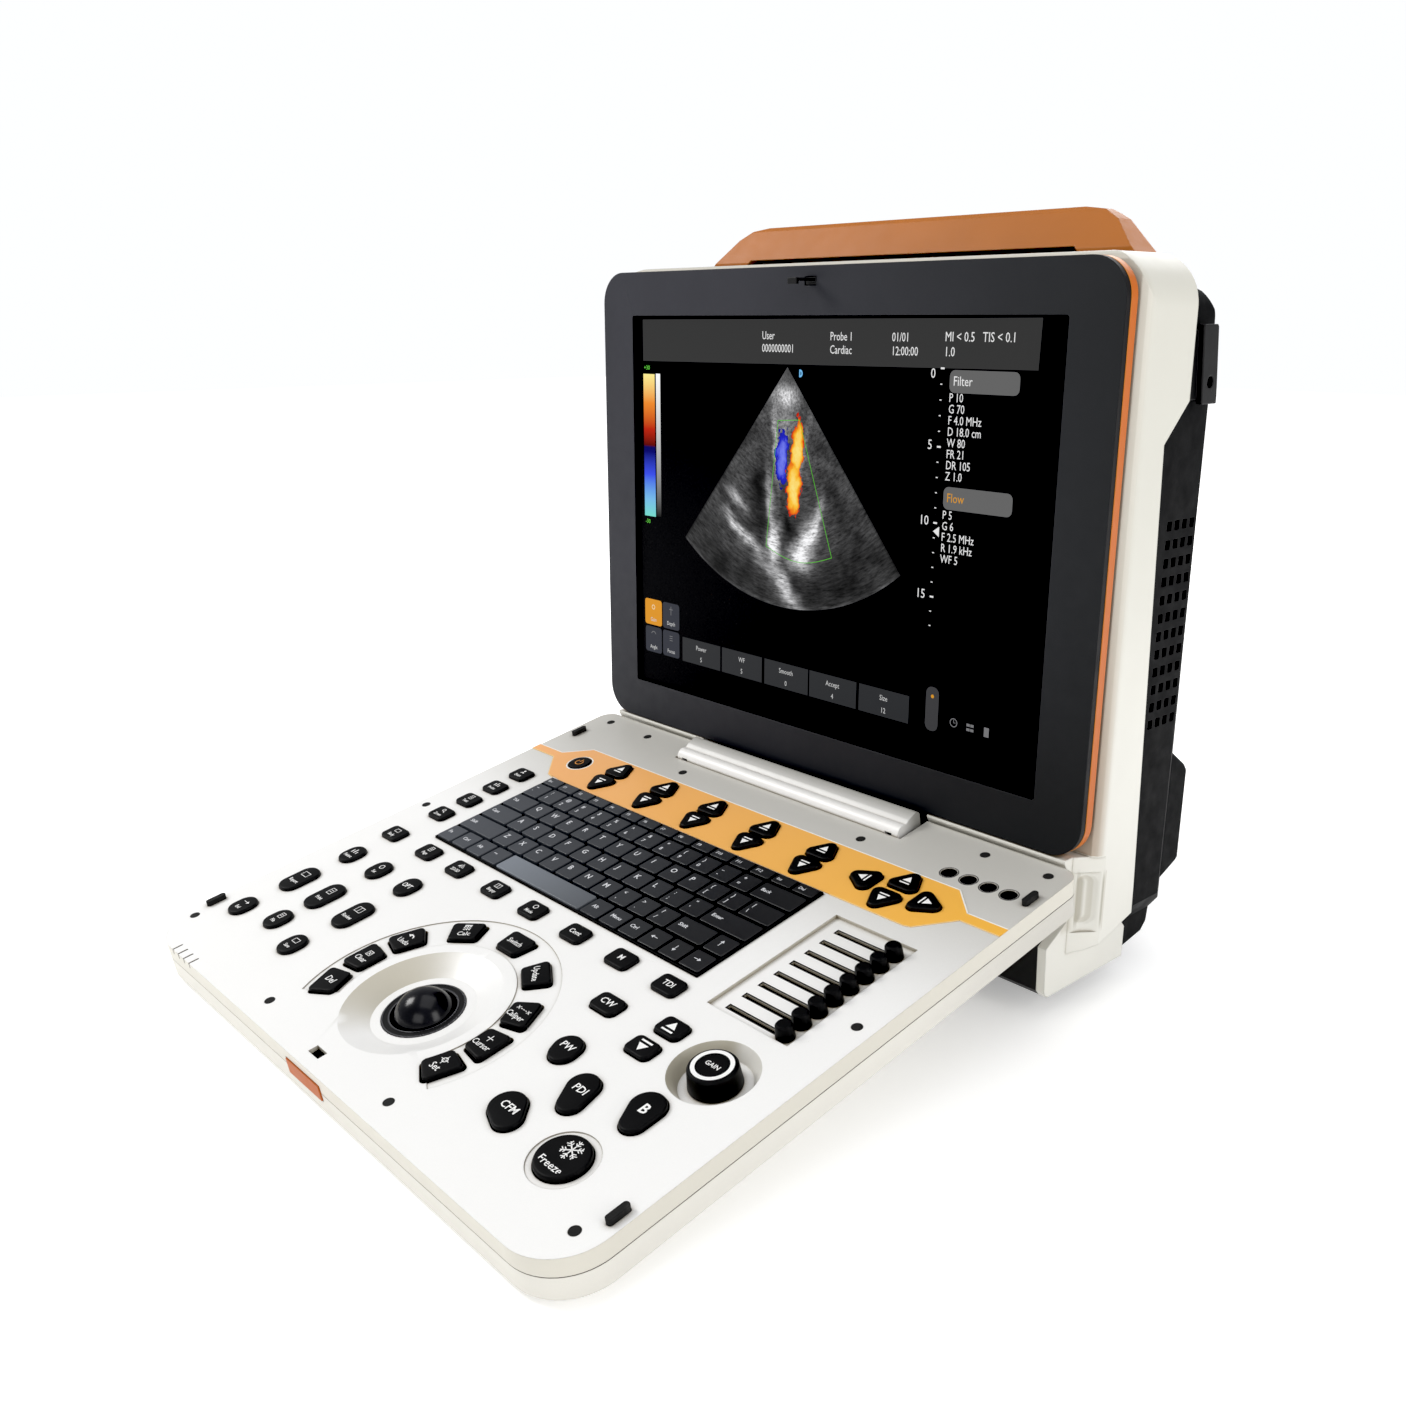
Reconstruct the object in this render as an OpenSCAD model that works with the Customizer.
// Portable colour ultrasound scanner with a folding control panel.
// Millimetres, +Z up. Origin: on the table plane, at the middle of the
// footprint with the panel open. -Y is towards the user, +X to the user's right.

/* [Display] */
// visible screen width, 15 inch 4:3 panel
screen_w = 306; // [300:320]
// visible screen height
screen_h = 228; // [220:240]
// height of the lower screen edge above the table
screen_z = 110; // [100:130]
// half width of the display frame
frame_x = 180.5; // [170:190]
// frame below the screen
frame_lo = 25; // [15:40]
// top of the frame above the lower screen edge
frame_hi = 253; // [245:265]
// corner radius of the frame
frame_r = 18; // [8:30]

/* [Control panel] */
// slope of the opened panel, degrees
panel_slope = 10.7; // [0:15]
// half width of the panel
panel_x = 182.9; // [170:190]
// front edge, panel coordinates
panel_front = -272; // [-290:-250]
// rear edge, panel coordinates
panel_back = 47.3; // [40:50]
// panel thickness
panel_t = 19.5; // [18:24]
// depth of the parting line
panel_split = 8.7; // [6:12]
// thickness of the cover walls
skin = 2.2; // [1.8:3]
// gap round the rubber keys
key_gap = 0.45; // [0.3:0.8]

/* [Hinge] */
// hinge axis, panel coordinates
hinge_y = 26.95; // [20:35]
// hinge axis below the panel face
hinge_z = -12.07; // [-15:-8]
// hinge pin radius
pin_r = 3.0; // [2:4]

/* [Body] */
// half width of the housing
body_x = 183; // [175:190]
// top of the housing above the lower screen edge
body_hi = 255.5; // [250:265]
// wall thickness of the housing
wall = 3; // [2:4]

/* [Controls] */
// trackball radius
ball_r = 15; // [12:19]

/* [Hidden] */
// display frame: x centred, y = 0 on the display front, z = 0 at the lower screen edge
display_y = 100.5;
// origin of the panel frame, in the display frame; z = 0 is the panel face
panel_y = -47.2;
panel_z = -37.8;

white = [0.93, 0.92, 0.89];
black = [0.09, 0.09, 0.1];
socket_black = [0.1, 0.1, 0.1];
orange = [0.86, 0.53, 0.2];
steel = [0.62, 0.64, 0.66];
bright_metal = [0.75, 0.76, 0.78];
rubber = [0.06, 0.06, 0.065];
keycap = [0.17, 0.175, 0.19];
pcb = [0.05, 0.25, 0.14];

// ---------- frames and solids ----------
module lift() { translate([0, display_y, screen_z]) children(); }
module tilt() { translate([0, panel_y, panel_z]) rotate([panel_slope, 0, 0]) children(); }
module panel() { lift() tilt() children(); }
module both_sides() {
  children();
  mirror([1, 0, 0]) children();
}
// a (y,z) drawing pushed along X, an (x,z) one along Y, an (x,y) one along Z
module along_x(x0, x1) {
  translate([x0, 0, 0]) rotate([90, 0, 90]) linear_extrude(x1 - x0) children();
}
module along_y(y0, y1) {
  translate([0, y1, 0]) rotate([90, 0, 0]) linear_extrude(y1 - y0) children();
}
module along_z(z0, z1) { translate([0, 0, z0]) linear_extrude(z1 - z0) children(); }
module box(from, to) { translate(from) cube(to - from); }
module rod_x(at, r, h, fn) { translate(at) rotate([0, 90, 0]) cylinder(r = r, h = h, $fn = fn); }
module rod_y(at, r, h, fn) { translate(at) rotate([-90, 0, 0]) cylinder(r = r, h = h, $fn = fn); }
module rod_z(at, r, h, fn) { translate(at) cylinder(r = r, h = h, $fn = fn); }
module cone_z(z, r1, r2, h, fn) { translate([0, 0, z]) cylinder(r1 = r1, r2 = r2, h = h, $fn = fn); }

// ---------- 2D shapes ----------
module round_rect(x0, y0, x1, y1, r) {
  translate([x0, y0 + r]) square([x1 - x0, y1 - y0 - 2 * r]);
  translate([x0 + r, y0]) square([x1 - x0 - 2 * r, y1 - y0]);
  for (x = [x0 + r, x1 - r], y = [y0 + r, y1 - r]) translate([x, y]) circle(r, $fn = 32);
}
module centred_rect(w, h, r, grow = 0) {
  round_rect(-w / 2 - grow, -h / 2 - grow, w / 2 + grow, h / 2 + grow, r + grow);
}
// polygon mirrored about x = 0; the points climb its right side
module sym_polygon(right) {
  polygon(concat(right, [for (i = [len(right) - 1:-1:0]) [-right[i][0], right[i][1]]]));
}
// rounded polygon: the points are arc centres
module round_polygon(points, r) {
  n = len(points);
  flat = cos(180 / 32); // mid-facet reach of a 32-sided circle
  polygon(points);
  for (i = [0:n - 1]) {
    a = points[i];
    b = points[(i + 1) % n];
    edge = b - a;
    out = [edge[1], -edge[0]] * (flat * r / norm(edge));
    translate(a) circle(r, $fn = 32);
    polygon([a, a + out, b + out, b]);
  }
}
// drop: two circles, a distance apart, joined by their tangents
module drop(big_r, small_r, dist) {
  a = acos((big_r - small_r) / dist);
  polygon(concat(
    [for (i = [0:28]) let (t = a + (360 - 2 * a) * i / 28) [big_r * cos(t), big_r * sin(t)]],
    [for (i = [0:12]) let (t = -a + 2 * a * i / 12) [dist + small_r * cos(t), small_r * sin(t)]]));
}

// ================= fixed body, display frame =================
frame_back = 3.6;     // back of the display frame
rim_back = 8.6;       // back of the orange rim
shell_front = 13.5;   // front of the white shell
chin_top = -25.7;     // top of the chin below the display
foot_x = 168;         // half width of the black foot
rear_x = 178;         // half width of the rear cover
rear_hi = 243.5;      // top of the rear cover
well_x = 106.5;       // hand well in the housing: half width and floor
well_z = 220.5;
rear_well_x = 112;    // hand well in the rear cover
rear_well_z = 215;
bay_x = 150;          // battery bay: half width, bottom and top
bay_lo = -58;
bay_hi = -2;
fit = 0.4;            // gap round parts set into openings
probe_z = [-4, 64];   // bottoms of the probe socket openings
probe_y = [22, 39.6];
probe_h = 62;
io_from = [40, 70];   // connector field in the rear cover, x and z
io_to = [130, 110];
fan_at = [-60, 62, 114];
speaker_x = [-60, 60];
bracket_hole = [71.8, 198]; // y, z
slot_x0 = 78.8;       // sides of the slots the hinge arms pass through
slot_x1 = 83.4;

// cover screws, right side: x, z, top of the post, seat of the head
cover_screws = [[150, 210, 52, 77], [150, 100, 38, 84.2], [160, -40, 46, 90]];

// side profiles, y and z
chin_yz = [
  [14, -25.7], [0, -25.7], [0, -27.2], [6, -37], [6.8, -58], [5.2, -60.6], [-10, -69.6],
  [-8.8, -94], [-6, -97], [62, -97], [62, -80], [49, -66], [14, -66]
];
shell_yz = [
  [shell_front, -75], [shell_front, 251.5], [15.4, 253.9], [17.6, 255.1], [20.5, body_hi],
  [56, body_hi], [57, 190], [38, 171], [49.5, -50], [50, -75]
];
rear_yz = [
  [50.4, -66.2], [49.9, -50], [38.4, 170.9], [57.4, 189.9], [56.6, 243.5], [68, 242.8],
  [77, 238.6], [82, 230.5], [85.8, 161], [88, 113], [95.5, 12], [95.5, -66], [92.5, -88],
  [88, -92.5], [62.4, -97], [62.4, -80]
];
rear_cavity_yz = [
  [40, -94.2], [62, -94.2], [87, -90], [90, -86], [93, -66], [93, 12], [85.4, 113],
  [83.2, 161], [79, 226], [74.5, 232.6], [65.5, 237.6], [40, 238.2], [30, 60]
];
foot_yz = [
  [-12, -100], [-12, -69], [-10, -69.4], [5.4, -60.4], [6.6, -58.6], [9, -58.6], [9, -66],
  [20, -66], [64, -66], [64, -100]
];
lower_cover_yz = [
  [6.4, -59], [5, -61], [-10, -70], [-8.8, -94], [-6, -97], [62, -97], [62, -94.6],
  [-5, -94.6], [-6.4, -92], [-7.4, -71.4], [6.2, -63.2], [8.8, -61], [8.8, -59]
];

module body_xz(inset) {
  side = body_x - inset;
  sym_polygon([[173 - inset, -97 + inset], [173 - inset, -80], [side, -73], [side, 0]]);
  round_rect(-side, -60, side, body_hi - inset, 24 - inset);
}
// plan of the housing with its front edges eased
module body_xy() {
  sym_polygon([
    [body_x - 4, shell_front], [body_x - 1.6, 15.4], [body_x - 0.4, 17.6],
    [body_x, 20.5], [body_x, 63]
  ]);
}

module housing_solid() {
  intersection() {
    along_y(shell_front, 62) body_xz(0);
    along_x(-190, 190) polygon(shell_yz);
    along_z(-120, 280) body_xy();
  }
  along_x(-173, 173) polygon(chin_yz);
  // slanting corner below the display
  both_sides() along_z(-77.2, chin_top)
    polygon([[170, 7.2], [172.6, 6.8], [173.4, 7.2], [183, 20.5], [183, 34], [170, 34]]);
  box([-128, 20, 176], [128, 30, 186]);
}
module housing_cavity() difference() {
  intersection() {
    along_y(16.5, 63) body_xz(wall);
    box([-185, 16.5, -62.5], [185, 63, 260]);
  }
  both_sides() along_z(-80, -24)
    polygon([[169, 10], [169, 27], [176, 31], [186, 33], [186, 10]]);
  // hand well walls
  box([-well_x - wall, 10, well_z - wall], [well_x + wall, 70, 270]);
  // screw posts
  both_sides() for (s = cover_screws) rod_y([s[0], 16, s[1]], 4.5, s[2] - 16, 24);
}
module main_housing() color(white) lift() difference() {
  union() housing_solid();
  housing_cavity();
  both_sides() for (s = cover_screws) rod_y([s[0], 26, s[1]], 1.5, 40, 24);
  both_sides() {
    // corner in front of the slant, and the hollow pressed into it
    along_z(-120, chin_top)
      polygon([[173.4, 7.2], [183, 20.5], [190, 20.5], [190, -2], [173.4, -2]]);
    rod_z([194, 1.95, -66], 21, 32, 128);
    translate([182.2, 10.6, -57.5]) {
      cylinder(r = 8, h = 17.5, $fn = 64);
      for (z = [0, 17.5]) translate([0, 0, z]) sphere(r = 8, $fn = 64);
    }
    // rising lower edge of the side
    along_x(174.5, 190) polygon([
      [0, -78], [14, -76], [20.5, -73.3], [50.5, -64.8], [70, -59.3], [70, -120], [0, -120]
    ]);
  }
  // clear the black cover that fills the foot
  foot_cut = foot_x + 0.2;
  box([-foot_cut, -20, -94.4], [foot_cut, 70, -66]);
  box([-foot_cut, 8.6, -66.1], [foot_cut, 70, -40]);
  box([-foot_cut, -20, -100], [foot_cut, 70, -68]);
  along_x(-foot_cut, foot_cut) polygon(foot_yz);
  // hinge bay behind the bar
  box([-88.6, -5, -62], [88.6, 12, -25]);
  box([-86, 11.9, -56], [86, 20, -32]);
  // hand well
  box([-well_x, 22, well_z], [well_x, 70, 270]);
  // cable opening to the display
  box([-40, 10, 60], [40, 20, 90]);
  // probe sockets, left wall
  for (z = probe_z) box([-190, probe_y[0], z], [-176, probe_y[1], z + probe_h]);
}

module rear_xy(inset) {
  side = rear_x - inset;
  sym_polygon([[side, 30], [side, 84], [172 - inset, 96.5 - inset]]);
}
module rear_xz(inset) {
  side = rear_x - inset;
  foot = 168.4 - inset;
  round_rect(-side, -60, side, rear_hi - inset, 17 - inset);
  sym_polygon([[foot, -97 + inset], [foot, -80], [side, -66], [side, 0]]);
}
module rear_cavity() difference() {
  intersection() {
    along_x(-176, 176) polygon(rear_cavity_yz);
    along_y(20, 97) rear_xz(2.6);
    along_z(-120, 280) rear_xy(2.4);
  }
  // walls under the hand well
  box([-rear_well_x - wall, 30, rear_well_z - wall], [rear_well_x + wall, 99, 260]);
  // screw sleeves
  both_sides() for (s = cover_screws) rod_y([s[0], s[2] + 1, s[1]], 5, 60, 24);
}
module rear_cover() color(black) lift() difference() {
  intersection() {
    along_x(-180, 180) polygon(rear_yz);
    along_y(30, 97) rear_xz(0);
    along_z(-120, 280) rear_xy(0);
  }
  rear_cavity();
  // hand well continues through the rear cover
  box([-rear_well_x, 30, rear_well_z], [rear_well_x, 99, 262]);
  // legs of the handle
  both_sides() box([117.6, 59.8, 229], [148.4, 80.2, 262]);
  box([-bay_x, 80, bay_lo], [bay_x, 99, bay_hi]);
  both_sides() for (s = cover_screws) {
    rod_y([s[0], 30, s[1]], 1.9, 70, 24);
    rod_y([s[0], s[3], s[1]], 3.6, 40, 24);
  }
  // side vents
  for (i = [0:11], j = [0:3]) both_sides()
    box([170, 57 + j * 7, 30 + i * 9], [182, 61 + j * 7, 34.5 + i * 9]);
  // rear vents over the fan
  for (i = [-9:9]) box([fan_at.x + i * 5 - 1.3, 80, 78], [fan_at.x + i * 5 + 1.3, 99, 150]);
  // connector field
  box([io_from[0], 80, io_from[1]], [io_to[0], 99, io_to[1]]);
  // screw holes behind the side brackets
  both_sides() rod_x([170, bracket_hole[0], bracket_hole[1]], 2.6, 12, 32);
}

module battery_pack() color([0.075, 0.075, 0.08]) lift() difference() {
  union() {
    along_x(-172, 172) polygon([
      [95.7, 9], [111, -1.5], [113.5, -4.5], [113.5, -55], [110.5, -58], [95.7, -64]
    ]);
    box([-bay_x + fit, 84, bay_lo + fit], [bay_x - fit, 96, bay_hi - fit]);
  }
  // finger recesses
  both_sides() box([120, 108, -40], [150, 120, -24]);
  // contact slots
  for (x = [-12, -4, 4, 12]) box([x - 1.5, 83, -40], [x + 1.5, 88, -28]);
}

module carry_handle() color(orange) lift() difference() {
  intersection() {
    along_y(60, 80)
      sym_polygon([[148, 229.2], [148, 255], [131, 272.4], [122, 277.4], [110, 279]]);
    along_x(-150, 150)
      polygon([[60, 229], [60, 259], [70.9, 277], [73, 279], [77, 279], [80, 275], [80, 229]]);
  }
  // opening between the legs
  along_y(50, 90) sym_polygon([[118, 220], [118, 254.4], [113, 260]]);
  // corner facets facing outwards, forwards and up
  both_sides() rotate([0, 54.9, -54.1]) translate([-100, -100, 164.8]) cube([200, 200, 60]);
  // foot screws
  both_sides() rod_z([133, 70, 226], 2.1, 14, 24);
}

module handle_grip() color([0.05, 0.05, 0.055]) lift() intersection() {
  along_x(-117.8, 117.8) round_rect(61.4, 244, 79.6, 259.8, 6);
  along_y(50, 90) sym_polygon([[117.8, 238], [117.8, 254.3], [112.8, 259.8]]);
}

module lower_front_cover() color([0.07, 0.07, 0.075]) lift() difference() {
  union() {
    along_x(-foot_x, foot_x) polygon(lower_cover_yz);
    box([-85.6, 9.4, -61.6], [85.6, 11.8, -26]);
    box([-85.6, 7.6, -61.6], [85.6, 10, -59.4]);
    // plinth
    box([-140, 12, -102], [140, 76, -97]);
  }
  // slots for the hinge arms
  both_sides() box([slot_x0, -20, -82], [slot_x1, 3.4, -50]);
  // speaker slots in the hinge bay
  for (x = speaker_x, i = [-4:4]) box([x + i * 4 - 0.8, 5, -50], [x + i * 4 + 0.8, 15, -36]);
  // trolley holes
  for (x = [-75, 75], y = [28, 60]) rod_z([x, y, -103], 2.0, 12, 32);
  // bottom vents
  for (i = [-5:5]) box([i * 9 - 2, 34, -103], [i * 9 + 2, 54, -90]);
}

module base_feet() color(rubber)
  for (x = [-118, 118], y = [24, 64]) translate([x, display_y + y, 0]) {
    cone_z(0, 9.5, 11, 5, 40);
    rod_z([0, 0, 5], 11, 3, 40);
  }

module hinge_arms() color(steel) lift() both_sides() difference() {
  union() {
    tilt() rod_x([79.2, hinge_y, hinge_z], 6.7, 3.8, 48);
    along_x(79.4, 82.8) polygon([
      [-25, -46], [-24.4, -57.6], [-13.6, -71], [-4.4, -84], [32, -84], [32, -75.6],
      [1.6, -75.6], [-3.6, -66.6], [-13.4, -57.4], [-12, -46]
    ]);
    box([60, 4, -83.6], [81, 30, -80.4]);
  }
  tilt() rod_x([78, hinge_y, hinge_z], pin_r + 0.05, 6, 48);
  for (y = [11, 25]) rod_z([69, y, -86], 2.1, 8, 24);
}

// ---------- display ----------
module frame_xz(side_grow) {
  round_rect(-frame_x - side_grow, -frame_lo, frame_x + side_grow, frame_hi, frame_r);
}
module glass_xz(grow) {
  x = screen_w / 2 + 4 + grow;
  over = 4.5 + grow;
  round_rect(-x, -over, x, screen_h + over, 2 + grow);
}
module display_bezel() color([0.13, 0.135, 0.15]) lift() difference() {
  along_y(0, frame_back) frame_xz(0);
  along_y(-1, 4) round_rect(-screen_w / 2, 0, screen_w / 2, screen_h, 1.5);
  along_y(2.25, 4) glass_xz(0.3);
  // seat of the latch keeper
  box([-9, -1, 243], [-0.6, 2.8, 247.6]);
}
module display_rim() color(orange) lift() difference() {
  along_y(frame_back, rim_back) frame_xz(0.3);
  along_y(3.5, 7.2) round_rect(-175, -19.6, 175, 247.8, 13);
  box([-40, 5, 62], [40, 9, 88]);
}
module display_mount() color([0.04, 0.04, 0.045]) lift() difference() {
  along_y(rim_back, shell_front) round_rect(-177.6, -22, 177.6, 249.8, 15);
  along_y(8, 14) round_rect(-120, 20, 120, 205, 8);
}
module lcd_module() color([0.3, 0.31, 0.33]) lift() difference() {
  lcd_x = screen_w / 2 + 7;
  along_y(3.9, 7.0) round_rect(-lcd_x, -8, lcd_x, screen_h + 8, 2);
  for (x = [-150, 150], z = [-4, screen_h + 4]) rod_y([x, 3, z], 1.6, 6, 24);
}
module screen_glass() color([0.02, 0.02, 0.025]) lift() along_y(2.3, 3.8) glass_xz(0);
module latch_keeper() color(steel) lift() union() {
  box([-8.6, 0.2, 243.4], [-1, 2.2, 247.2]);
  box([-8, -14, 245.2], [-1.6, 0.2, 246.8]);
  box([-8, -14, 243.6], [-1.6, -12, 245.2]);
}

// ---------- fittings and internals ----------
module accessory_brackets() color([0.11, 0.11, 0.115]) lift() both_sides() difference() {
  union() {
    along_x(rear_x, 181.4) polygon([[58.6, 190], [77, 190], [73.4, 221.5], [58.6, 221.5]]);
    along_x(181.4, 184.4)
      polygon([[65.8, 188], [79.4, 188], [79.2, 192], [75, 223], [74, 224], [61.4, 224]]);
  }
  rod_x([176, bracket_hole[0], bracket_hole[1]], 2.6, 12, 32);
}

// lower left corners of the chips, x and z
chips = [
  [-120, 40], [-80, 40], [-40, 40], [0, 40], [-120, 80], [-80, 80], [-40, 80], [0, 80],
  [60, 60], [110, 60]
];
module main_board() lift() {
  color(pcb) box([-144, 27, 20], [144, 28.6, 170]);
  color([0.15, 0.15, 0.16]) for (c = chips) box([c.x, 28.6, c.y], [c.x + 24, 31, c.y + 24]);
  // heat sink and its fins
  color(bright_metal) box([50, 28.6, 100], [120, 31, 160]);
  color(bright_metal) for (i = [0:8]) box([51 + i * 8, 31, 101], [53.4 + i * 8, 37, 159]);
}
module power_supply() color([0.55, 0.56, 0.58]) lift() difference() {
  box([-40, 50, 10], [60, 82, 60]);
  for (i = [0:7]) box([-30 + i * 11, 78, 18], [-25 + i * 11, 84, 52]);
}
// fan frame of reference: z runs along the fan axis, to the rear
module at_fan() { lift() translate(fan_at) rotate([-90, 0, 0]) children(); }
module fan_frame() color([0.08, 0.08, 0.08]) at_fan() {
  difference() {
    translate([-30, -30, 0]) cube([60, 60, 15]);
    rod_z([0, 0, -1], 28.2, 17, 64);
    for (x = [-25.5, 25.5], y = [-25.5, 25.5]) rod_z([x, y, -1], 2.1, 17, 20);
  }
  // hub, spokes and axle
  cylinder(r = 11, h = 2, $fn = 40);
  for (a = [45, 135, 225, 315]) rotate(a) translate([9, -1.8, 0]) cube([22, 3.6, 2]);
  cylinder(r = 2.0, h = 11.5, $fn = 32);
}
module fan_rotor() color([0.1, 0.1, 0.11]) at_fan() difference() {
  union() {
    rod_z([0, 0, 3], 12, 10.5, 40);
    for (i = [0:6]) rotate(i * 360 / 7) translate([11, 0, 8.2]) rotate([35, 0, 0])
      translate([0, -0.8, -4.6]) cube([16, 1.6, 9]);
  }
  rod_z([0, 0, 2], 2.05, 9.8, 32);
}
module probe_sockets() lift() for (z = probe_z) {
  color([0.12, 0.12, 0.13]) difference() {
    box([-182.4, probe_y[0] + fit, z + fit], [-168, probe_y[1] - fit, z + probe_h - fit]);
    box([-184, 25, z + 5], [-172, 36.6, z + 57]);
  }
  color([0.78, 0.68, 0.35]) box([-172, 27.4, z + 9], [-170.2, 34.2, z + 53]);
}

// openings in the connector plate, and the outlines the sockets sit in: x0, z0, x1, z1
port_openings = [[46, 92, 62, 105], [67, 96, 80, 101.5], [67, 86, 80, 91.5], [86, 92, 101, 98]];
port_sockets = [[46, 92, 62, 105], [67, 86, 80, 101.5], [86, 92, 101, 98]];
// round jacks: x, z, plate hole radius, body radius, bore radius, body sides, bore sides
jacks = [
  [114, 95, 5.6, 5.4, 3.2, 32, 24],
  for (x = [50, 62, 74]) [x, 79, 3.1, 3.0, 1.8, 24, 20]
];
module ports(outlines, y0, y1, inset) {
  for (p = outlines) box([p[0] + inset, y0, p[1] + inset], [p[2] - inset, y1, p[3] - inset]);
}
module io_panel() lift() {
  color([0.6, 0.61, 0.63]) difference() {
    box([io_from[0] + fit, 86, io_from[1] + fit], [io_to[0] - fit, 87.4, io_to[1] - fit]);
    ports(port_openings, 85, 89, 0);
    for (j = jacks) rod_y([j[0], 85, j[1]], j[2], 4, j[5]);
  }
  color(socket_black) {
    ports(port_sockets, 76, 86, 0.2);
    for (j = jacks) difference() {
      rod_y([j[0], 76, j[1]], j[3], 10, j[5]);
      rod_y([j[0], 79, j[1]], j[4], 8, j[6]);
    }
  }
}
module speakers() lift() for (x = speaker_x) color([0.16, 0.16, 0.17]) difference() {
  box([x - 20, 12.2, -54], [x + 20, 26, -33.6]);
  rod_y([x, 11, -43.5], 8.5, 5, 40);
}
module storage_drive() color([0.5, 0.51, 0.53]) lift() box([80, 52, 5], [150, 59, 55]);
module housing_screws() color(steel) lift() both_sides() for (s = cover_screws) difference() {
  union() {
    rod_y([s[0], s[3], s[1]], 3.2, 2, 24);
    rod_y([s[0], 34, s[1]], 1.45, s[3] - 34, 24);
  }
  rod_y([s[0], s[3] + 1, s[1]], 1.5, 2, 6);
}

// ================= control panel, panel frame =================
ball_x = 0.4;            // trackball centre
ball_y = -212.4;
ball_z = -10.3;
cup_r = 18;              // trackball cup and its flange
flange_r = 20;
knob_at = [147, -161.6]; // gain knob
shaft_r = 3;
cap_r = 7;
slider_x = 153.3;        // gain sliders
slider_y = [for (i = [0:7]) -55.8 - 10.06 * i];
kb_x0 = -133.3;          // keyboard frame
kb_x1 = 93.0;
kb_y0 = -121.9;
kb_y1 = -37.2;
key_pitch = (kb_x1 - kb_x0) / 15;
row_pitch = 15.12;
notch_x = 89.6;          // half width of the notch for the hinge bar
latch_x0 = -21;          // sides of the latch button
latch_x1 = 11;
freeze_at = [138.2, -232.2];
front_feet = [[-150, -256], [150, -256]];
indicators = [for (x = [130.6, 142.4, 154.2, 166]) [x, 13]];
bosses = [
  [-160, -150], [160, -60], [-60, -150], [-60, -30], [110, -215], [-110, -215], [40, -30]
];
bumpers = [[-178.2, -236], [177.6, -236.6], [-173.8, 14.6], [177, 14.4]];
plugs = [
  [-175, -250], [-168, 36.7], [-128, 35.1], [-69.3, 13.5], [72.5, 13.5], [135, 36.3],
  [171.5, 37], [174.3, -104.6], [170.5, -251.2], [52.2, -259.4], [-62, -259.2], [-175.5, -102.6]
];

module at_ball() { translate([ball_x, ball_y, 0]) children(); }
module at_knob() { translate([knob_at.x, knob_at.y, 0]) children(); }
// upright rods at a list of points
module rods(points, z, r, h, fn) { for (p = points) rod_z([p.x, p.y, z], r, h, fn); }
module bumper_blocks(z0, z1, grow) {
  for (p = bumpers) translate([p.x, p.y, 0]) along_z(z0, z1) centred_rect(3.3, 10.9, 1.55, grow);
}
module keyboard_block(grow, z0, z1) {
  box([kb_x0 - grow, kb_y0 - grow, z0], [kb_x1 + grow, kb_y1 + grow, z1]);
}

// ---------- rubber key outlines, grown by a gap for their openings ----------
arc_angles = [-22, 1, 24.5, 56, 90, 124, 155.5, 179, 202];
// drop keys: x, y, angle, setback, large radius, small radius, distance
drop_keys = [
  [86.6, -192.2, -75, 1.6, 7.3, 6.9, 3.2],
  [113.4, -205.8, -69, 4, 7.7, 6.1, 10.2],
  [143.4, -196.6, -76, 3.5, 8.3, 6.0, 9.8],
  [98.8, -230.8, -35, 2.8, 8.6, 6.8, 7.4]
];
module rects_at(points, w, h, r, gap) { for (p = points) translate(p) centred_rect(w, h, r, gap); }
module arrow(at, angle, gap) {
  translate(at) rotate(angle) round_polygon([[-4.4, -3.9], [4.4, -3.9], [0.3, 3.7]], 4.1 + gap);
}
module arrow_outlines(gap) {
  for (x = [-102.5, -60, -18, 24, 66.3]) {
    arrow([x, -7.4], 0, gap);
    arrow([x + 0.4, -25.1], 180, gap);
  }
  // cross of four
  arrow([120.8, -6.3], 0, gap);
  arrow([119.8, -25.4], 180, gap);
  arrow([100.2, -16], 90, gap);
  arrow([140.4, -16.2], -90, gap);
}
module arc_outlines(gap) {
  for (a = arc_angles) translate([ball_x + 54 * cos(a), ball_y + 54 * sin(a)]) rotate(a)
    round_polygon([[-4.6, -6.1], [4.9, -7.6], [4.9, 7.6], [-4.6, 6.1]], 2.2 + gap);
}
module square_outlines(gap) {
  column = [for (y = [-45.7, -65.4, -84.6, -104.3]) [-154.5, y]];
  row = [for (x = [-157, -119.5, -87.6, -52, -17.8, 18.2, 54, 88.3]) [x, -134.6]];
  rects_at(column, 14.6, 11.6, 3, gap);
  rects_at(row, 15, 11.4, 3, gap);
  rects_at([[76.3, -160.6]], 16.6, 11.8, 3.4, gap);
}
module oval_outlines(gap) {
  small = [
    [-156.8, -162.9], [-126.6, -162.9], [-95.8, -162.6],
    [-158.8, -229], [-128, -223], [-97.6, -229.6]
  ];
  rects_at([for (x = [-158, -127.5, -96]) [x, -195.6]], 12.4, 20.6, 5.4, gap);
  rects_at(small, 11.8, 15.4, 5.6, gap);
}
module mode_outlines(gap) {
  for (k = drop_keys) translate([k[0], k[1]]) rotate(k[2]) translate([-k[3], 0])
    drop(k[4] + gap, k[5] + gap, k[6]);
}
module depth_outlines(gap) { rects_at([[113, -154.2], [112.4, -170.6]], 15.2, 11.4, 3.2, gap); }
module freeze_outline(gap) { translate(freeze_at) circle(12 + gap, $fn = 64); }
module power_outline(gap) { translate([-135.8, -14.2]) circle(7.4 + gap, $fn = 48); }
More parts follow.
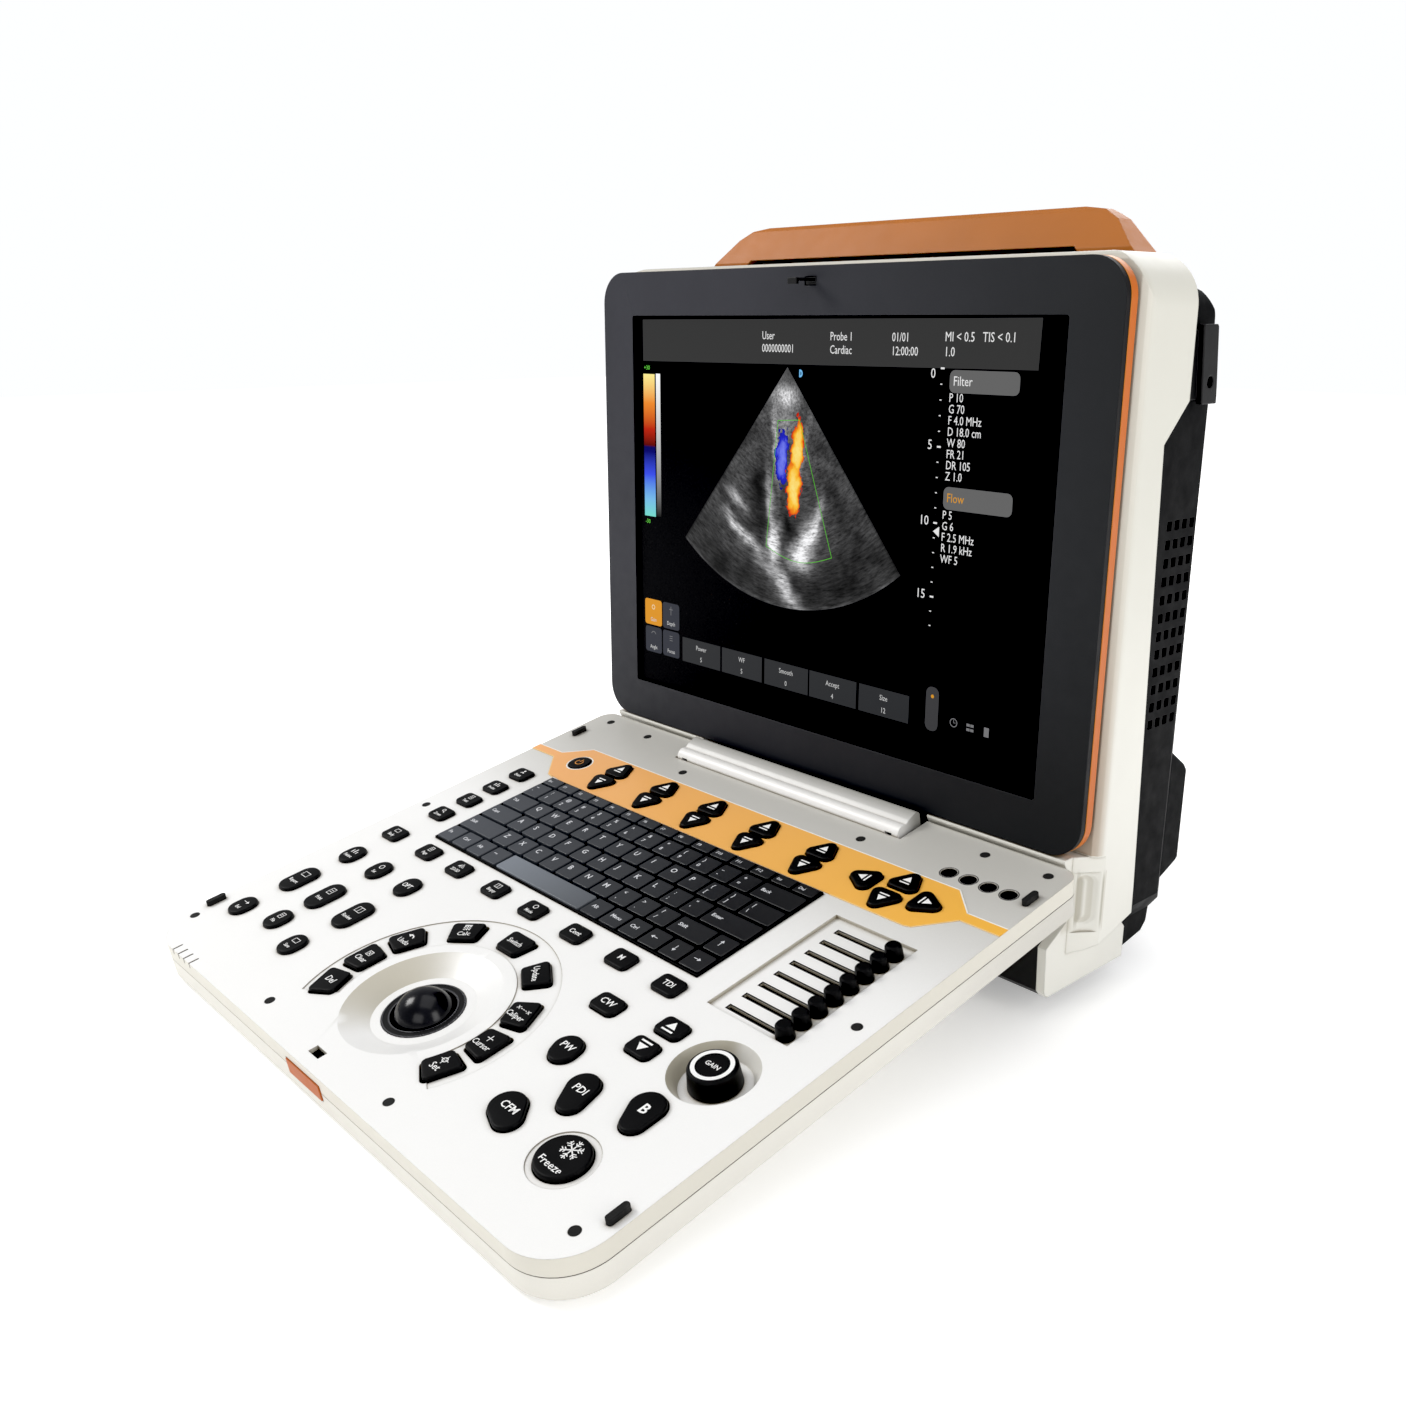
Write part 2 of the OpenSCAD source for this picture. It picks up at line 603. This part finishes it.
module key_outlines(gap) {
  arrow_outlines(gap);
  arc_outlines(gap);
  square_outlines(gap);
  oval_outlines(gap);
  mode_outlines(gap);
  depth_outlines(gap);
  freeze_outline(gap);
  power_outline(gap);
}

// ---------- covers ----------
module panel_outline(inset) {
  x = panel_x - inset;
  round_rect(-x, panel_front + inset, x, 0, 27 - inset);
  round_rect(-x, -100, x, panel_back - inset, 9 - inset);
}
module notch_outline() { translate([-notch_x, 25]) square([2 * notch_x, 40]); }

module top_cavity() difference() {
  along_z(-panel_split - 1, -skin) panel_outline(2.4);
  // thick floor under the gain sliders
  box([108, -134, -3.2], [162, -44.5, 0]);
  // cup round the gain knob
  at_knob() rod_z([0, 0, -7.8], 22, 8, 64);
  // dish of the trackball
  at_ball() cone_z(-7.4, 27.6, 40.6, 7.4, 96);
  // wall round the keyboard opening
  keyboard_block(2.3, -5.6, 0);
}
// sunk band round the arc keys, with round ends
module arc_band() at_ball() translate([0, 0, -0.5]) {
  ends = [209, -29];
  difference() {
    cylinder(r = 66.2, h = 2, $fn = 192);
    rod_z([0, 0, -1], 45, 4, 160);
    along_z(-1, 3) polygon([
      [0, 0], [120 * cos(ends[0]), 120 * sin(ends[0])],
      [0, -160], [120 * cos(ends[1]), 120 * sin(ends[1])]
    ]);
  }
  for (a = ends) rotate(a) along_z(0, 2)
    round_polygon([[51, -2], [60.2, -2], [60.2, 2], [51, 2]], 6);
}
module panel_top_cover() color(white) panel() difference() {
  along_z(-panel_split + 0.1, 0) panel_outline(0);
  top_cavity();
  along_z(-20, 1) key_outlines(key_gap);
  along_z(-20, 1) notch_outline();
  keyboard_block(0.3, -20, 1);
  // slider tray and slots
  box([110.3, -131.6, -1.8], [159.7, -46.9, 1]);
  for (y = slider_y) box([118.4, y - 0.9, -6], [156.2, y + 0.9, 1]);
  // knob recess
  at_knob() {
    cone_z(-6.5, 16, 20, 6.52, 96);
    rod_z([0, 0, -9], 4, 4, 32);
  }
  // trackball dish
  at_ball() {
    cone_z(-5.6, 25, 38.6, 5.62, 128);
    rod_z([0, 0, -9], flange_r + 0.2, 5, 96);
  }
  arc_band();
  // sunk ring round the freeze button
  rods([freeze_at], -0.5, 15.2, 2, 96);
  // indicator windows
  rods(indicators, -6, 4.2, 8, 32);
  // hook slot, latch opening, grip notches
  box([-9.4, -265.4, -20], [-0.2, -260.6, 1]);
  box([latch_x0 - fit, -274, -20], [latch_x1 + fit, -266, -4.6]);
  for (i = [0:3]) box([-151.5 + i * 7, -273, -3], [-150.5 + i * 7, -266.6, 1]);
  // plug and bumper seats
  rods(plugs, -1.2, 2.6, 2, 32);
  bumper_blocks(-1, 1, 0.05);
}

module panel_bottom_cover() color([0.9, 0.89, 0.86]) panel() difference() {
  union() {
    difference() {
      along_z(-panel_t, -panel_split - 0.25) panel_outline(0);
      difference() {
        along_z(-panel_t + skin, 0) panel_outline(2.4);
        rods(bosses, -18, 3.2, 7.6, 24);
      }
      along_z(-30, 1) notch_outline();
    }
    // pocket for the trackball
    at_ball() cone_z(-27.4, 19, 21, 9, 64);
  }
  at_ball() rod_z([0, 0, -26], cup_r + 0.4, 20, 64);
  both_sides() box([slot_x0, 17.4, -30], [slot_x1, 60, -5]);
  box([latch_x0 - fit, -274, -13.4], [latch_x1 + fit, -266, 1]);
  rods(front_feet, -20, 6.2, 1.2, 32);
}

// runs across the notch and hides the hinge
module hinge_bar_cover() color([0.95, 0.95, 0.93]) panel() difference() {
  along_x(-87.6, 87.6) {
    translate([25.4, -19.3]) square([15, 19.4]);
    round_polygon([[30.6, -6], [41.4, -4], [41.4, 4.8], [36.5, 3.4], [30.6, -0.4]], 2.6);
    translate([30.2, -0.1]) circle(4.8, $fn = 64);
    translate([40, -19.3]) square([5.5, 12]);
  }
  along_x(-86, 86) {
    translate([27.6, -17]) square([10.6, 17.4]);
    translate([36, -17]) square([9, 7.6]);
  }
  // hinge knuckles and pins
  both_sides() box([74.2, 18, -17.6], [86, 36, -4.6]);
  // room for the arms in every position
  both_sides() box([slot_x0, 17.4, -30], [slot_x1, 60, 1]);
}

module hinge_knuckles() color([0.5, 0.51, 0.53]) panel() both_sides() difference() {
  union() {
    // an ear and its strap on each side of the arm
    for (ear = [[83.7, 85.8], [74.6, 78.5]]) {
      box([ear[0], 19.6, -17.2], [ear[1], 34.4, -5.2]);
      box([ear[0], -8, -17.2], [ear[1], 19.6, -15]);
    }
    box([66, -12, -17.2], [96, -2, -15]);
  }
  rod_x([70, hinge_y, hinge_z], pin_r + 0.02, 40, 48);
  for (x = [70, 92]) rod_z([x, -7, -18], 1.7, 5, 20);
}
module hinge_pins() color([0.7, 0.71, 0.73]) panel() both_sides()
  rod_x([75, hinge_y, hinge_z], pin_r, 10.6, 48);

module overlay_outline() {
  polygon([
    [-panel_x, -10.6], [-159, -10.6], [-143.5, 3.2], [145, 3.2], [160, -10.8],
    [panel_x, -10.8], [panel_x, -17.4], [160.5, -17.4], [145.5, -34.6], [142, -35.6],
    [-127, -35.8], [-142, -34.2], [-159.5, -17.2], [-panel_x, -17.2]
  ]);
}
module orange_overlay() color(orange) panel() difference() {
  along_z(0, 0.3) difference() {
    overlay_outline();
    arrow_outlines(key_gap);
    power_outline(key_gap);
  }
  box([kb_x0 - 0.4, kb_y0, -1], [kb_x1 + 0.4, kb_y1 + 0.4, 2]);
}

module bumper_pads() color(rubber) panel() bumper_blocks(-1, 2.8, 0);
module screw_plugs() color(rubber) panel() rods(plugs, -1.2, 2.55, 1.35, 32);
module panel_feet() color(rubber) panel() rods(front_feet, -23.7, 6, 4.8, 32);

// ---------- keyboard ----------
module keyboard_frame() color([0.03, 0.03, 0.035]) panel() difference() {
  keyboard_block(0, -4.4, 1.2);
  keyboard_block(-0.7, -3.4, 2);
}

// key rows, front to back, widths in key units; the space bar is negative
rows = [
  [1, 1, 1, 1, -5, 1, 1, 1, 1, 1, 1],
  [2.25, 1, 1, 1, 1, 1, 1, 1, 1, 1, 1, 1.75, 1],
  [1.75, 1, 1, 1, 1, 1, 1, 1, 1, 1, 1, 1, 2.25],
  [1.5, 1, 1, 1, 1, 1, 1, 1, 1, 1, 1, 1, 1, 1.5],
  [1, 1, 1, 1, 1, 1, 1, 1, 1, 1, 1, 1, 1, 2],
  [1, 1, 1, 1, 1, 1, 1, 1, 1, 1, 1, 1, 1, 1, 1]
];
// key units to the left of key i
function units_before(row, i) = i <= 0 ? 0 : abs(row[i - 1]) + units_before(row, i - 1);
module cap(row, i, y0, y1) {
  inset = 0.85;
  x0 = kb_x0 + key_pitch * units_before(row, i);
  x1 = kb_x0 + key_pitch * units_before(row, i + 1);
  box([x0 + inset, y0 + inset, -1.2], [x1 - inset, y1 - inset, 2.0]);
}
module letter_keys() color(keycap) panel()
  for (r = [0:5]) {
    y0 = kb_y0 + row_pitch * r;
    y1 = r == 5 ? kb_y1 : y0 + row_pitch;
    for (i = [0:len(rows[r]) - 1]) if (rows[r][i] > 0) cap(rows[r], i, y0, y1);
  }
module space_bar() color(keycap) panel() cap(rows[0], 4, kb_y0, kb_y0 + row_pitch);

// ---------- trackball, sliders, knob and latch ----------
module trackball_cup() color([0.05, 0.05, 0.055]) panel() at_ball() difference() {
  union() {
    rod_z([0, 0, -8.6], flange_r, 3.1, 96);
    rod_z([0, 0, -25.9], cup_r, 18, 64);
  }
  translate([0, 0, ball_z]) sphere(r = ball_r + 0.4, $fn = 64);
  rod_z([0, 0, ball_z], ball_r + 0.05, 3.4, 64);
  cone_z(-7.2, ball_r + 0.05, ball_r + 0.9, 2, 64);
}
module trackball() color([0.03, 0.03, 0.04]) panel() at_ball()
  translate([0, 0, ball_z]) sphere(r = ball_r, $fn = 96);

module slider_unit() color(socket_black) panel() for (y = slider_y) difference() {
  box([114, y - 3.6, -8.6], [160, y + 3.6, -3.6]);
  box([117, y - 1, -7.6], [157.4, y + 1, -2]);
}
// gain slider, counted from the rear
module tgc_slider(number) color(rubber) panel() translate([slider_x, slider_y[number - 1], 0]) {
  cone_z(-1.4, 4.5, 3.9, 6.0, 40);
  cone_z(4.6, 3.9, 3.2, 0.8, 40);
  box([-2.2, -0.65, -7], [2.2, 0.65, -0.7]);
}

module indicator_lenses() color([0.03, 0.03, 0.03]) panel() rods(indicators, -3.6, 4.1, 2.2, 32);

module panel_board() panel() {
  color(pcb) difference() {
    box([-172, -246, -10.2], [172, 12, -8.6]);
    at_ball() rod_z([0, 0, -12], flange_r + 0.4, 6, 48);
    box([-30, -260, -12], [20, -234, -6]);
    rods(bosses, -12, 1.7, 6, 20);
    at_knob() rod_z([0, 0, -12], 3.4, 8, 32);
    both_sides() box([73, 8, -12], [88, 20, -6]);
  }
  // rotary encoder under the knob
  color([0.6, 0.6, 0.62]) at_knob() {
    box([-6.5, -6.5, -15.5], [6.5, 6.5, -10.2]);
    rod_z([0, 0, -10.3], shaft_r, 8.1, 40);
  }
}

module latch_button() color(orange) panel() {
  difference() {
    box([latch_x0, -272.6, -13], [latch_x1, -267.4, -5]);
    box([latch_x0 + 5, -270, -11.4], [latch_x1 - 5, -266, -6.6]);
  }
  for (x = [-14.4, 1.6]) box([x, -268.4, -8], [x + 2.8, -257, -3.4]);
  box([-14.4, -262.7, -5.4], [4.4, -257, -3.4]);
}
module gain_knob() color(rubber) panel() at_knob() difference() {
  union() {
    cone_z(-6.1, 11.9, 11, 8.6, 72);
    cone_z(2.5, 11, 10, 1, 72);
  }
  rod_z([0, 0, -1.6], cap_r + 0.05, 8, 64);
  rod_z([0, 0, -7], shaft_r + 0.05, 5.6, 40);
}
module knob_cap() color(rubber) panel() at_knob() rod_z([0, 0, -0.4], cap_r, 3.7, 64);

// ---------- rubber keys ----------
module keys(top) { color(rubber) panel() along_z(-4.6, top) children(); }
module freeze_button() keys(2) freeze_outline(0);
module power_button() keys(1.2) power_outline(0);
module mode_keys() keys(2.2) mode_outlines(0);
module depth_keys() keys(2) depth_outlines(0);
module arc_keys() keys(2) arc_outlines(0);
module square_keys() keys(2) square_outlines(0);
module oval_keys() keys(2) oval_outlines(0);
module arrow_keys() keys(2.2) arrow_outlines(0);

main_housing();
rear_cover();
battery_pack();
carry_handle();
handle_grip();
lower_front_cover();
base_feet();
hinge_arms();
display_bezel();
display_rim();
display_mount();
lcd_module();
screen_glass();
latch_keeper();
accessory_brackets();
main_board();
power_supply();
fan_frame();
fan_rotor();
probe_sockets();
io_panel();
speakers();
storage_drive();
housing_screws();
panel_top_cover();
panel_bottom_cover();
hinge_bar_cover();
hinge_knuckles();
hinge_pins();
orange_overlay();
bumper_pads();
screw_plugs();
panel_feet();
keyboard_frame();
trackball_cup();
slider_unit();
indicator_lenses();
panel_board();
latch_button();
trackball();
gain_knob();
knob_cap();
tgc_slider(1);  // tgc_slider_1
tgc_slider(2);  // tgc_slider_2
tgc_slider(3);  // tgc_slider_3
tgc_slider(4);  // tgc_slider_4
tgc_slider(5);  // tgc_slider_5
tgc_slider(6);  // tgc_slider_6
tgc_slider(7);  // tgc_slider_7
tgc_slider(8);  // tgc_slider_8
freeze_button();
power_button();
mode_keys();
depth_keys();
arc_keys();
square_keys();
oval_keys();
arrow_keys();
letter_keys();
space_bar();
